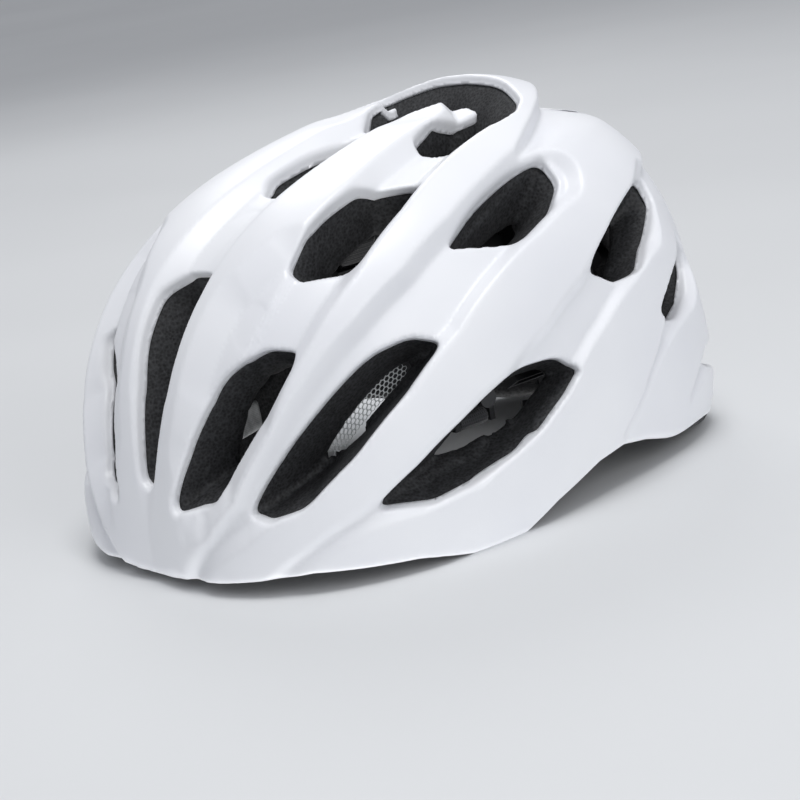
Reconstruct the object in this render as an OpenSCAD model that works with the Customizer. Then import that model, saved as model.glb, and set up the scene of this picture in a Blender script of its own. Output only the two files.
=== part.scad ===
// Vented road cycling helmet. Front is -Y, the wearer's left is +X, up is +Z.
// The ground plane the rim stands on is z = 0.

/* [Shell] */
// Reach of the shell in front of the head centre
shell_front = 148.6; // [135:0.1:160]
// Reach of the shell behind the head centre
shell_rear = 132.4; // [120:0.1:145]
// Half width of the shell
shell_side = 102.5; // [92:0.1:110]
// Height of the crown above the head centre
shell_crown = 117; // [105:0.5:125]
// How far the dome would curve in below the head centre
shell_low = 98.9; // [90:0.1:110]
// Squareness of the dome, 2 is an ellipsoid
shell_square = 2.6; // [2:0.1:3]
// Height of the head centre above the ground
centre_z = 43; // [35:1:50]
// Wall of the shell
shell_t = 2.2; // [1.5:0.1:3]
// Depth of the valleys between the ribs, as a share of the full depth
valley_scale = 1; // [0.3:0.05:1.1]

/* [Liner] */
// Reach of the head hollow in front of the head centre
head_front = 122; // [112:1:126]
// Reach of the head hollow behind the head centre
head_rear = 112; // [102:1:115]
// Half width of the head hollow
head_side = 84; // [76:1:86]
// Height of the head hollow above the head centre
head_crown = 84; // [76:1:88]
// Squareness of the head hollow
head_square = 2.4; // [2:0.1:3]
// Thickness of the comfort pads
pad_t = 5; // [3:0.5:8]

/* [Retention] */
// Radius of the toothed arms about their shared axis
arm_r = 79; // [70:0.5:79]
// Fore-aft position of the arm axis
arm_y = 13; // [8:1:20]
// Height of the tilt axis through both temples
arm_z = 30; // [26:1:34]
// Droop of the cradle below level at rest, degrees
arm_droop = 9; // [0:1:14]
// Thickness of the arms
arm_t = 1.6; // [1.2:0.1:2]
// Half height of the arms
arm_h = 8.2; // [7:0.1:10]
// Tooth module of the adjuster gears
gear_m = 0.9; // [0.7:0.05:1.1]
// Teeth on the adjuster pinion
gear_n = 12; // [10:2:14]
// Radius of the adjuster dial
dial_r = 12.5; // [10:0.5:15]
// Thickness of the adjuster dial
dial_t = 7; // [5:0.5:9]
// Radius of the adjuster shaft
shaft_r = 3; // [2:0.1:3.5]

/* [Straps] */
// Sideways position of the strap bars
strap_x = 76; // [74:0.5:77]
// Height of the strap bars
strap_z = 44; // [42:0.5:48]
// Lean of the stowed straps towards the head, degrees
strap_lean = 30; // [26:1:34]
// Fore-aft position of the front strap bar
strap_front = -45; // [-50:1:-40]
// Fore-aft position of the rear strap bar
strap_rear = 38; // [34:1:40]
// Width of the webbing
web_w = 15; // [12:1:16]
// Thickness of the webbing
web_t = 1.4; // [1:0.1:1.8]
// Length of the strap legs from bar to divider
leg_l = 66; // [60:1:68]

/* [Hidden] */
centre = [0, 0, centre_z];
middle_y = 13.827;                           // brings the middle of the whole box to y = 0
gap = 0.12;                                  // between shell and liner
run = 0.05;                                  // radial clearance of a running fit
turn = 76;                                   // facets around the dome
rows = 26;                                   // facets from crown to rim
pitch_r = gear_m * gear_n / 2;
rack_step = 360 * gear_m / (2 * arm_r);      // one tooth along an arm, degrees
web_front = [strap_front, -8];               // leg centre lines, bar to divider
web_rear = [strap_rear, 8];
fold_s = leg_l + 10;                         // distance of the chin bar from the strap bar
fold_x = -2.6;                               // chin bar towards the head
chin_x = fold_x - 3 + web_t / 2;             // stowed chin webbing
clip_r = 4.9;
plug_r = 4;
strip_r = 90;                                // height strip about the tilt axis
socket_up = 26;                              // socket above level from the tilt axis, degrees
socket_z = arm_z + strip_r * sin(socket_up) - 0.5;

// ---- dome ----

// Valleys between the ribs: chart x, chart y, half width, depth. Chart values are degrees from the
// crown, x towards a side and y towards the rear; depth is in mm.
VALLEYS = [
    [5, [[0, -98, 1.5, 0.3], [0, -90, 4, 1.5], [0, -75, 7.5, 5], [0, -60, 9, 6.5], [0, -45, 9, 6],
        [0, -30, 9, 5.5], [0, -15, 8.5, 6.5], [0, 4, 9, 8.5], [0, 9.5, 9.5, 8]]],
    [4.5, [[17, -95, 3, 1.5], [21, -90, 5.5, 4.5], [25, -83, 7, 7], [29, -72, 7.5, 9],
        [30.5, -58, 7.5, 9], [31, -45, 7.5, 9], [29.5, -30, 7, 9], [26, -15, 6.3, 9],
        [23, -2, 6, 9], [18, 7, 6.5, 9], [9, 11.5, 6, 8]]],
    [7, [[14, -92, 4, 1], [18, -84, 8, 4], [21.5, -74, 10.5, 6.5], [23.5, -62, 11, 7],
        [26, -50, 8, 6]]],
    [4, [[42.5, 5, 7.5, 6], [46.5, -8, 7.5, 7], [49.5, -22, 7, 7], [51.5, -38, 7.5, 7],
        [50.5, -52, 8, 7], [47, -65, 7.5, 7], [42, -77, 6, 6], [34, -88, 3.5, 4],
        [25, -96, 2.5, 3], [16, -104, 2.5, 3]]],
    [3.5, [[41, 38, 5.5, 5], [52, 30, 6, 5], [61, 18, 6, 4.5], [70, 3, 6.3, 3.5], [77, -14, 7.5, 4],
        [79.5, -32, 8, 5], [76, -50, 7, 5], [69, -64, 4.5, 4], [60, -76, 2, 3],
        [50, -87, 1.5, 2.5], [40, -97, 1.5, 2]]],
    [3, [[46, 57, 3.5, 5], [58, 52, 4.5, 4.5], [68, 43, 4, 3.5], [78, 37, 2, 2.5],
        [90, 29, 1.2, 2], [101, 17, 1.2, 1.5]]],
    [3, [[36, 88, 3, 4], [52, 80, 3.5, 4], [64, 70, 2.5, 3], [80, 62, 1.2, 1.5]]]];

// Vent outlines in the same chart, one side of the helmet
VENTS = [
    [[28, -64], [34.5, -61.5], [36, -63.5], [34.5, -70], [30, -80], [24.5, -90], [12.5, -94],
        [11.5, -92.5], [15, -84], [20, -72]],
    [[30.5, -20.5], [32.5, -20.5], [35, -30], [37, -42.5], [34, -46.5], [28, -51.5], [24.5, -51.5],
        [23.5, -40], [23.5, -30]],
    [[26, 10], [28, 4], [28.5, -4], [25, -11], [20, -12], [17.5, -4], [16, 4], [15.7, 12], [22, 13]],
    [[37.5, 8], [44, 8.5], [49.5, 2], [53.3, -11], [50, -20], [46, -28], [42.5, -16], [39, -2]],
    [[57.5, -41.5], [58, -44], [57.5, -55], [54, -69], [47.5, -81], [40, -86.5], [35, -88],
        [34.5, -87], [42, -70], [47.5, -54], [52, -46]],
    [[82.5, -6], [86, -15], [87.8, -28], [86, -40], [81, -54], [73, -65.5], [62, -74], [61.5, -73],
        [67, -61], [71, -46], [73.5, -28], [77.5, -13]],
    [[38, 38.5], [42, 41], [53, 34.5], [63.5, 25], [66, 15], [63.5, 6], [61, 7], [52, 19],
        [43, 31]],
    [[44, 50], [47, 58], [58, 55.5], [67, 48], [71, 39], [70, 34], [59, 41], [50, 47]],
    [[40, 87], [43, 90], [55, 82], [63, 74], [64.5, 70], [60, 71.5], [50, 79]],
    [[6, 61], [9, 59], [14, 60], [14, 70], [11, 78], [6, 79]],
    [[22, 59], [26, 57.5], [30, 59], [28, 69], [23, 76], [20, 74]],
    [[0, 11], [18, 11], [22, 8], [26, 10], [21, 15.5], [12, 19], [0, 20]]];
// Vents on the centre line, right half; the left half mirrors it
MID_VENTS = [
    [[0, -56], [5, -56.5], [8, -61], [7.5, -70], [5, -83], [3.2, -91], [0, -92.5]],
    [[0, -8], [4, -10], [6, -20], [6.5, -31], [4, -35.5], [0, -36]],
    [[0, -5], [5, -5], [9, 2], [11, 11], [11, 14], [0, 14]]];

// Height of the rim above the ground, by angle round from the front
RIM = [[0, 3], [15, 5], [30, 8], [45, 5], [54, 0], [66, 0], [75, 7], [90, 15], [100, 17],
    [110, 14], [120, 9], [135, 4], [147, 0], [166, 0], [180, 1]];

function unit(t) = min(1, max(0, t));
function sum(list) = list * [for (v = list) 1];
function smooth(t) = let (u = unit(t)) u * u * (3 - 2 * u);
function polar(th, ph) = [sin(ph) * sin(th), -sin(ph) * cos(th), cos(ph)];
// Angles round and down of a chart position
function chart_angles(a, b) = [atan2(a, -b), norm([a, b])];

// Radius of the smooth dome in direction d
function dome_r(d) = let (x = abs(d.x), y = d.y, z = d.z,
    q = pow(x / shell_side, shell_square) + pow(abs(y) / (y < 0 ? shell_front : shell_rear), shell_square)
        + pow(abs(z) / (z > 0 ? shell_crown : shell_low), shell_square))
    pow(q, -1 / shell_square) * (1 + 0.086 * y * z - 0.146 * y * y * z - 0.074 * z * z * y * abs(y)
        + 0.09 * x * x * z - 0.002 * pow(y, 3) - 0.129 * x * y + 0.11 * pow(z, 3) * y);

function seg_cut(x, y, p, q, edge) = let (dx = q[0] - p[0], dy = q[1] - p[1],
    t = unit(((x - p[0]) * dx + (y - p[1]) * dy) / (dx * dx + dy * dy)),
    e = norm([x - p[0] - t * dx, y - p[1] - t * dy]) - (p[2] + t * (q[2] - p[2])))
    (p[3] + t * (q[3] - p[3])) * smooth(-e / edge);
function valley_cut(x, y) = max([for (v = VALLEYS) for (i = [0:len(v[1]) - 2])
    seg_cut(x, y, v[1][i], v[1][i + 1], v[0])]);

// Height of the shell above the smooth dome: crown hump, valleys, rear deck and the step behind it
function relief(x, y) = let (
    hump = 3 * (1 - smooth((norm([x * 0.8, y - 19]) - 5) / 14)),
    yd = y - 29 + 0.022 * x * x, ys = y - 53 + 0.012 * x * x,
    deck = 9 * smooth(yd / 4) * (1 - 0.75 * smooth((yd - 2) / 17)) * smooth((44 - x) / 14),
    step = 5.5 * smooth(ys / 3) * smooth((58 - x) / 18),
    rib = 2 * (1 - smooth((norm([x - 8, y - 2]) - 6) / 9)))
    hump - valley_scale * max(valley_cut(x, y), deck, step, rib);
function shell_r(th, ph) = dome_r(polar(th, ph)) + relief(ph * abs(sin(th)), -ph * cos(th));
function head_r(th, ph) = let (d = polar(th, ph),
    q = pow(abs(d.x) / head_side, head_square)
        + pow(abs(d.y) / (d.y < 0 ? head_front : head_rear), head_square)
        + pow(abs(d.z) / (d.z > 0 ? head_crown : 125), head_square)) pow(q, -1 / head_square);

// Angle round the dome for facet i: closer together at the front
function around(i) = let (u = 360 * i / turn) u - 20 * sin(u);
function rim_z(th) = lookup(th > 180 ? 360 - th : th, RIM);
// Angle from the crown at which a surface of radius r(th, ph) - off meets the rim height
function rim_ph(r, th, off, lo = 80, hi = 130, n = 18) = let (m = (lo + hi) / 2)
    n == 0 ? m : centre_z + (r(th, m) - off) * cos(m) > rim_z(th)
        ? rim_ph(r, th, off, m, hi, n - 1) : rim_ph(r, th, off, lo, m, n - 1);
function dome_rows(r, off, n) = [for (i = [0:turn - 1]) let (th = around(i), end = rim_ph(r, th, off))
    [for (j = [1:n]) let (ph = end * j / n) centre + polar(th, ph) * (r(th, ph) - off)]];
function top_point(r, off) = centre + [0, 0, r(0, 0) - off];

// Outer skin, which also sets how each four-sided facet is split
skin = dome_rows(function(th, ph) shell_r(th, ph), 0, rows);
function splits(i, j) = let (k = (i + 1) % turn)
    norm(skin[i][j] - skin[k][j + 1]) <= norm(skin[i][j + 1] - skin[k][j]);
function pair(a, b, c, d, first) = first ? [[a, b, c], [a, c, d]] : [[a, b, d], [b, c, d]];

// Closed wall between two dome surfaces, open at the rim
module dome_wall(r_out, off_out, n_out, r_in, off_in, n_in) {
    outer = dome_rows(r_out, off_out, n_out);
    inner = dome_rows(r_in, off_in, n_in);
    base = 1 + turn * n_out;
    points = concat([top_point(r_out, off_out)], [for (c = outer) each c],
        [top_point(r_in, off_in)], [for (c = inner) each c]);
    function o(i, j) = j < 0 ? 0 : 1 + (i % turn) * n_out + j;
    function k(i, j) = j < 0 ? base : base + 1 + (i % turn) * n_in + j;
    faces = [
        for (i = [0:turn - 1]) [0, o(i, 0), o(i + 1, 0)],
        for (i = [0:turn - 1]) for (j = [0:n_out - 2])
            each pair(o(i, j), o(i, j + 1), o(i + 1, j + 1), o(i + 1, j), splits(i, j)),
        for (i = [0:turn - 1]) each [
            [o(i, n_out - 1), k(i, n_in - 1), k(i + 1, n_in - 1)],
            [o(i, n_out - 1), k(i + 1, n_in - 1), o(i + 1, n_out - 1)]],
        for (i = [0:turn - 1]) for (j = [0:n_in - 2])
            each [for (f = pair(k(i, j), k(i, j + 1), k(i + 1, j + 1), k(i + 1, j),
                n_in < rows || splits(i, j))) [f[0], f[2], f[1]]],
        for (i = [0:turn - 1]) [base, k(i + 1, 0), k(i, 0)]];
    polyhedron(points, [for (f = faces) [f[0], f[2], f[1]]], convexity = 10);
}

// Tapered hole through the wall under one vent outline, narrower towards the head
module vent_cut(outline) {
    n = len(outline);
    mid = [for (k = [0, 1]) sum([for (p = outline) p[k]]) / n];
    function at(p, share, off) = let (q = mid + share * (p - mid), a = chart_angles(q[0], q[1]))
        centre + polar(a[0], a[1]) * (shell_r(a[0], a[1]) + off);
    hull() polyhedron(concat([for (p = outline) at(p, 0.45, -45)], [for (p = outline) at(p, 1.12, 10)]),
        [[for (i = [0:n - 1]) i], [for (i = [0:n - 1]) 2 * n - 1 - i]]);
}
module vents() {
    for (s = [-1, 1]) for (v = VENTS) vent_cut([for (p = v) [s * p[0], p[1]]]);
    for (v = MID_VENTS) vent_cut(concat(v, [for (i = [len(v) - 1:-1:0]) [-v[i][0], v[i][1]]]));
}

// Closed cushion or sheet that follows the surface r; f(u, v) gives [angle round, angle down]
module lining(r, f, off, t, nu, nv) {
    function at(i, j, d) = let (a = f(i / nu, j / nv)) centre + polar(a[0], a[1]) * (r(a[0], a[1]) - d);
    points = concat([for (i = [0:nu]) for (j = [0:nv]) at(i, j, off)],
        [for (i = [0:nu]) for (j = [0:nv]) at(i, j, off + t)]);
    m = (nu + 1) * (nv + 1);
    function o(i, j) = i * (nv + 1) + j;
    faces = [for (i = [0:nu - 1]) for (j = [0:nv - 1]) each [
            [o(i, j), o(i + 1, j), o(i + 1, j + 1)], [o(i, j), o(i + 1, j + 1), o(i, j + 1)],
            [m + o(i, j), m + o(i + 1, j + 1), m + o(i + 1, j)],
            [m + o(i, j), m + o(i, j + 1), m + o(i + 1, j + 1)]],
        for (i = [0:nu - 1]) each [
            [o(i, 0), m + o(i, 0), m + o(i + 1, 0)], [o(i, 0), m + o(i + 1, 0), o(i + 1, 0)],
            [o(i, nv), o(i + 1, nv), m + o(i + 1, nv)], [o(i, nv), m + o(i + 1, nv), m + o(i, nv)]],
        for (j = [0:nv - 1]) each [
            [o(0, j), o(0, j + 1), m + o(0, j + 1)], [o(0, j), m + o(0, j + 1), m + o(0, j)],
            [o(nu, j), m + o(nu, j + 1), o(nu, j + 1)], [o(nu, j), m + o(nu, j), m + o(nu, j + 1)]]];
    polyhedron(points, [for (f = faces) [f[0], f[2], f[1]]], convexity = 4);
}
module outer_shell() color([0.93, 0.94, 0.97]) difference() {
    dome_wall(function(th, ph) shell_r(th, ph), 0, rows, function(th, ph) shell_r(th, ph), shell_t, rows);
    vents();
}

module eps_liner() color([0.08, 0.08, 0.09]) difference() {
    dome_wall(function(th, ph) shell_r(th, ph), shell_t + gap, rows, function(th, ph) head_r(th, ph), 0, 15);
    vents();
    for (s = [-1, 1]) {
        translate([s * 80, arm_y, arm_z]) rotate([0, s * 90, 0])
            cylinder(r = clip_r + 0.1, h = 12, $fn = 32);
        for (y = [strap_front, strap_rear]) translate([s * 74, y, strap_z + 10])
            rotate([0, s * 90, 0]) cylinder(r = plug_r + 0.1, h = 16, $fn = 32);
        for (y = [strap_front, strap_rear]) scale([s, 1, 1]) translate([0, y, strap_z])
            box3(70, 79.4, -web_w / 2 - 3.3, web_w / 2 + 3.3, -2.8, 15.4);
    }
    translate([0, 90, socket_z]) rotate([-90, 0, 0]) cylinder(r = plug_r + 0.1, h = 24, $fn = 32);
}

module rear_patch() color([0.72, 0.73, 0.76])
    lining(function(th, ph) shell_r(th, ph), function(u, v) chart_angles(-15 + 30 * u, 36 + 8 * v),
        -1.2, 0.8, 12, 3);

// ---- soft parts inside the hollow ----

module inside(f, off, t, nu, nv) lining(function(th, ph) head_r(th, ph), f, off, t, nu, nv);
module net(side) inside(function(u, v) chart_angles(side * (44 + 9 * u + 6 * (v - 0.5)), -78 + 26 * u),
    0.8, 1, 10, 3);
module bug_net_left() color([0.8, 0.82, 0.84]) net(1);
module bug_net_right() color([0.8, 0.82, 0.84]) mirror([1, 0, 0]) net(1);
module front_pad() color([0.13, 0.13, 0.14])
    inside(function(u, v) [-46 + 92 * u, 92 + 12 * v], 0.8, pad_t, 16, 3);
module crown_pad() inside(function(u, v) chart_angles(6 + 11 * v, -42 + 72 * u), 0.8, pad_t, 12, 2);
module crown_pad_left() color([0.13, 0.13, 0.14]) crown_pad();
module crown_pad_right() color([0.13, 0.13, 0.14]) mirror([1, 0, 0]) crown_pad();
module temple_pad() inside(function(u, v) [51 + 14 * u, 95 + 9 * v], 0.8, 2.6, 4, 3);
module temple_pad_left() color([0.45, 0.46, 0.48]) temple_pad();
module temple_pad_right() color([0.45, 0.46, 0.48]) mirror([1, 0, 0]) temple_pad();
module rear_pad() inside(function(u, v) [128 + 28 * u, 60 + 16 * v], 0.8, pad_t, 6, 4);
module rear_pad_left() color([0.13, 0.13, 0.14]) rear_pad();
module rear_pad_right() color([0.13, 0.13, 0.14]) mirror([1, 0, 0]) rear_pad();

// ---- retention cradle ----

// Frame of the cradle: z along the arm axis, y to the rear, origin on the tilt axis
module cradle_frame() translate([0, arm_y, arm_z]) rotate([-arm_droop, 0, 0]) children();
// Profile (radius, height) swept between two angles measured from the rear towards the left
module sweep(a0, a1) rotate([0, 0, 90 - a1]) rotate_extrude(angle = a1 - a0, $fn = 144) children();
module box2(x0, x1, y0, y1) translate([x0, y0]) square([x1 - x0, y1 - y0]);
module box3(x0, x1, y0, y1, z0, z1) translate([x0, y0, z0]) cube([x1 - x0, y1 - y0, z1 - z0]);
// Round bar along y, and a flat profile (x, z) with thickness along y
module rod(r, y0, y1) translate([0, y0, 0]) rotate([-90, 0, 0]) cylinder(r = r, h = y1 - y0, $fn = 48);
module slab(y0, y1) translate([0, y1, 0]) rotate([90, 0, 0]) linear_extrude(y1 - y0) children();

module cradle_housing() color([0.1, 0.1, 0.11]) cradle_frame() difference() {
    sweep(-17, 17) polygon([[arm_r - 4.8, -arm_h - 3.3], [arm_r + 1.4, -arm_h - 3.3],
        [arm_r + 1.4, -arm_h - 0.5], [arm_r - 1.4, -arm_h - 0.5], [arm_r - 1.4, arm_h + 0.5],
        [arm_r + 1.4, arm_h + 0.5], [arm_r + 1.4, arm_h + 3.3], [arm_r - 4.8, arm_h + 3.3]]);
    rod(shaft_r + run, arm_r - 6, arm_r + 2);
}
module cradle_cover() color([0.12, 0.12, 0.13]) cradle_frame() difference() {
    sweep(-17, 17) box2(arm_r + 1.45, arm_r + 3.2, -arm_h - 3.3, arm_h + 3.3);
    rod(shaft_r + run, arm_r, arm_r + 5);
}
module cradle_pads() color([0.2, 0.2, 0.22]) cradle_frame() for (a = [-16, 5])
    sweep(a, a + 11) box2(arm_r - 8.4, arm_r - 5, -arm_h - 1, arm_h + 1);
module arm_guides() color([0.12, 0.12, 0.13]) cradle_frame() for (s = [-1, 1]) scale([s, 1, 1]) {
    difference() {
        box3(arm_r - 2.8, arm_r + 2.6, -3, 3, -arm_h - 2.2, arm_h + 2.2);
        box3(arm_r - arm_t / 2 - 0.4, arm_r + arm_t / 2 + 0.4, -4, 4, -arm_h - 0.4, arm_h + 0.4);
    }
    translate([arm_r + 2.6, 0, 0]) rotate([0, 90, 0]) cylinder(r = shaft_r, h = 5.9, $fn = 48);
}
module temple_clips() color([0.16, 0.16, 0.17]) for (s = [-1, 1]) scale([s, 1, 1])
    translate([arm_r + 2.9, arm_y, arm_z]) rotate([0, 90, 0]) difference() {
        union() {
            cylinder(r = 6.5, h = 0.7, $fn = 48);
            cylinder(r = clip_r, h = 9.6, $fn = 48);
        }
        translate([0, 0, -1]) cylinder(r = shaft_r + run, h = 7.2, $fn = 48);
    }
module height_strip() color([0.12, 0.12, 0.13]) cradle_frame() {
    box3(-6, 6, arm_r - 0.5, arm_r + 2.9, arm_h + 3.4, arm_h + 6.8);
    box3(-6, 6, arm_r - 0.5, strip_r + 0.7, arm_h + 4.8, arm_h + 6.8);
    rotate([0, 90, 0]) rotate([0, 0, 90]) translate([0, 0, -6]) rotate([0, 0, 9])
        rotate_extrude(angle = 41, $fn = 144) box2(strip_r - 0.7, strip_r + 0.7, 0, 12);
}
module height_socket() color([0.16, 0.16, 0.17]) union() {
    translate([0, arm_y, arm_z]) rotate([socket_up, 0, 0]) difference() {
        box3(-8.5, 8.5, strip_r - 2.2, strip_r + 5, -3, 3);
        box3(-6.3, 6.3, strip_r - 1.1, strip_r + 1.1, -4, 4);
    }
    translate([0, 0, socket_z]) rod(plug_r, 97, 112);
}

// Toothed arm: a full-height band to the temple and a half-height rack to the adjuster
module rack_tooth() slab(arm_r - arm_t / 2 + 0.15, arm_r + arm_t / 2 - 0.15)
    polygon([[-0.8, pitch_r + 1.2], [-0.3, pitch_r - 0.75], [0.3, pitch_r - 0.75], [0.8, pitch_r + 1.2]]);
module arm() {
    difference() {
        sweep(-6, 112) box2(arm_r - arm_t / 2, arm_r + arm_t / 2, -arm_h, arm_h);
        sweep(-8, 46) box2(arm_r - arm_t, arm_r + arm_t, -arm_h - 1, pitch_r + 1);
    }
    for (k = [-2:11]) rotate([0, 0, -k * rack_step]) rack_tooth();
}
module arm_left() color([0.14, 0.14, 0.15]) cradle_frame() arm();
module arm_right() color([0.14, 0.14, 0.15]) cradle_frame() rotate([0, 180, 0]) arm();

module pinion() color([0.3, 0.3, 0.32]) cradle_frame() difference() {
    union() {
        slab(arm_r - arm_t / 2 - 0.1, arm_r + arm_t / 2 + 0.1) {
            circle(r = pitch_r - 0.95, $fn = 48);
            for (k = [0:gear_n - 1]) rotate(360 * (k + 0.5) / gear_n)
                polygon([[pitch_r - 1.2, -0.85], [pitch_r, -0.5], [pitch_r + 0.8, -0.2],
                    [pitch_r + 0.8, 0.2], [pitch_r, 0.5], [pitch_r - 1.2, 0.85]]);
        }
        rod(shaft_r, arm_r - 3.5, arm_r + 7);
    }
    rod(1.35, arm_r + 0.5, arm_r + 8);
}
module dial() color([0.1, 0.1, 0.11]) cradle_frame() difference() {
    rod(dial_r, arm_r + 3.6, arm_r + 3.6 + dial_t);
    rod(shaft_r + 0.02, arm_r + 3, arm_r + 7.1);
    rod(1.5, arm_r + 6, arm_r + 9);
    rod(3.3, arm_r + 8, arm_r + 4 + dial_t);
    for (k = [0:11]) rotate([0, 30 * k, 0]) translate([dial_r + 1.2, 0, 0])
        rod(2, arm_r + 3, arm_r + 4 + dial_t);
}
module dial_screw() color([0.6, 0.61, 0.63]) cradle_frame() difference() {
    union() {
        rod(3, arm_r + 8.05, arm_r + 10);
        rod(1.25, arm_r + 1, arm_r + 8.2);
    }
    slab(arm_r + 9, arm_r + 11) circle(r = 1.3, $fn = 6);
}

// ---- straps ----

// Frame of one stowed strap: y along the strap bars, z along the strap, x away from the head
module strap_frame() translate([strap_x, 0, strap_z]) rotate([0, -strap_lean, 0]) children();
// Flat webbing outline (y, z) with its mid plane at x
module web(x) translate([x - web_t / 2, 0, 0]) rotate([90, 0, 90]) linear_extrude(web_t) children();
module loop(r_out, r_bore, y) translate([0, y, 0]) difference() {
    rod(r_out, -web_w / 2, web_w / 2);
    rod(r_bore, -web_w, web_w);
}
module strap() {
    h = web_w / 2;
    web(0) for (e = [web_front, web_rear]) polygon([[e[0] - h, 2.6], [e[0] + h, 2.6],
        [e[0] + h, 9], [e[1] + h, leg_l - 12], [e[1] + h, leg_l], [e[1] - h, leg_l],
        [e[1] - h, leg_l - 12], [e[0] - h, 9]]);
    for (e = [web_front, web_rear]) loop(3.3, 1.88, e[0]);
}
module strap_left() color([0.07, 0.07, 0.08]) strap_frame() strap();
module strap_right() color([0.07, 0.07, 0.08]) mirror([1, 0, 0]) strap_frame() strap();
module anchor() {
    h = web_w / 2;
    box3(77, 79, -h - 2.9, h + 2.9, strap_z + 5, strap_z + 15);
    for (s = [-1, 1]) scale([1, s, 1]) box3(74.6, 79, h + 0.4, h + 2.9, strap_z - 2.4, strap_z + 15);
    translate([strap_x, 0, strap_z]) rod(1.8, -h - 2.9, h + 2.9);
    translate([78, 0, strap_z + 10]) rotate([0, 90, 0]) cylinder(r = plug_r, h = 11, $fn = 32);
}
module strap_anchors() color([0.16, 0.16, 0.17])
    for (s = [-1, 1]) for (y = [strap_front, strap_rear]) scale([s, 1, 1]) translate([0, y, 0]) anchor();

module divider() {
    difference() {
        box3(-3.4, 3.4, -18, 18, leg_l - 9, leg_l + 5);
        box3(-1.1, 1.1, -16.2, 16.2, leg_l - 10, leg_l + 2.5);
    }
    for (s = [-1, 1]) scale([1, s, 1]) {
        box3(fold_x - 2.4, 0, 8, 10.5, leg_l + 4.9, fold_s + 2.4);
        difference() {
            box3(3.3, 7.4, 7.3, 9.5, leg_l + 0.5, leg_l + 4.5);
            translate([5.6, 0, leg_l + 2.5]) rod(1.06, 6, 9.3);
        }
    }
    translate([fold_x, 0, fold_s]) rod(1.6, -10.5, 10.5);
}
module divider_left() color([0.11, 0.11, 0.12]) strap_frame() divider();
module divider_right() color([0.11, 0.11, 0.12]) mirror([1, 0, 0]) strap_frame() divider();
module cam_lever() translate([5.6, 0, leg_l + 2.5]) {
    rod(1.5, -7, 7);
    rod(1, -9.2, 9.2);
    box3(-0.8, 0.8, -7, 7, -10, 0);
}
module cam_lever_left() color([0.16, 0.16, 0.17]) strap_frame() cam_lever();
module cam_lever_right() color([0.16, 0.16, 0.17]) mirror([1, 0, 0]) strap_frame() cam_lever();

module chin_strap(end) {
    web(chin_x) translate([-web_w / 2, end]) square([web_w, fold_s - end]);
    translate([fold_x, 0, fold_s]) loop(3, 1.68, 0);
}
module chin_strap_left() color([0.07, 0.07, 0.08]) strap_frame() difference() {
    chin_strap(30);
    translate([fold_x, 0, fold_s]) rod(1.68, -20, 20);
}
module chin_strap_right() color([0.07, 0.07, 0.08]) mirror([1, 0, 0]) strap_frame() difference() {
    chin_strap(8);
    translate([fold_x, 0, fold_s]) rod(1.68, -20, 20);
}
module buckle_female() color([0.1, 0.1, 0.11]) strap_frame() translate([chin_x, 0, 0]) difference() {
    box3(-4, 4, -14, 14, 8, 34);
    box3(-2.4, 2.4, -12, 12, 7, 25);
    box3(-1.1, 1.1, -7.9, 7.9, 28, 35);
    for (s = [-1, 1]) scale([1, s, 1]) box3(-2, 2, 11, 15, 14, 22);
}
module buckle_male() color([0.1, 0.1, 0.11]) mirror([1, 0, 0]) strap_frame() translate([chin_x, 0, 0]) {
    difference() {
        box3(-2.8, 2.8, -12.5, 12.5, 24, 38);
        box3(-1.1, 1.1, -7.9, 7.9, 23, 39);
    }
    for (s = [-1, 1]) scale([1, s, 1]) translate([-1.8, 0, 0]) rotate([90, 0, 90]) linear_extrude(3.6)
        polygon([[8.6, 24.2], [8.6, 8], [9.6, 6], [11.4, 10], [11.4, 15], [10.4, 15.6], [10.4, 24.2]]);
}
module strap_keeper() color([0.14, 0.14, 0.14]) mirror([1, 0, 0]) strap_frame() translate([chin_x, 0, 0])
    difference() {
        box3(-2.6, 2.6, -9.8, 9.8, 51, 55);
        box3(-1.1, 1.1, -7.9, 7.9, 50, 56);
    }
module chin_pad() color([0.2, 0.2, 0.22]) mirror([1, 0, 0]) strap_frame()
    box3(chin_x - web_t / 2 - 3, chin_x - web_t / 2 - 0.4, -9, 9, 57, 70);

// Moves a finished piece from the head centre's axes to the middle of the whole box
module placed() translate([0, middle_y, 0]) children();

placed() outer_shell();
placed() eps_liner();
placed() rear_patch();
placed() bug_net_left();
placed() bug_net_right();
placed() front_pad();
placed() crown_pad_left();
placed() crown_pad_right();
placed() temple_pad_left();
placed() temple_pad_right();
placed() rear_pad_left();
placed() rear_pad_right();
placed() temple_clips();
placed() strap_anchors();
placed() height_socket();
placed() cradle_housing();
placed() cradle_cover();
placed() cradle_pads();
placed() arm_guides();
placed() height_strip();
placed() arm_left();
placed() arm_right();
placed() dial();
placed() pinion();
placed() dial_screw();
placed() strap_left();
placed() strap_right();
placed() divider_left();
placed() divider_right();
placed() cam_lever_left();
placed() cam_lever_right();
placed() chin_strap_left();
placed() chin_strap_right();
placed() buckle_female();
placed() buckle_male();
placed() strap_keeper();
placed() chin_pad();
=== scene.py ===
"""Looks for the cycling helmet: thin white shell, black foam liner, pads, straps and adjuster."""
import math

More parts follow.
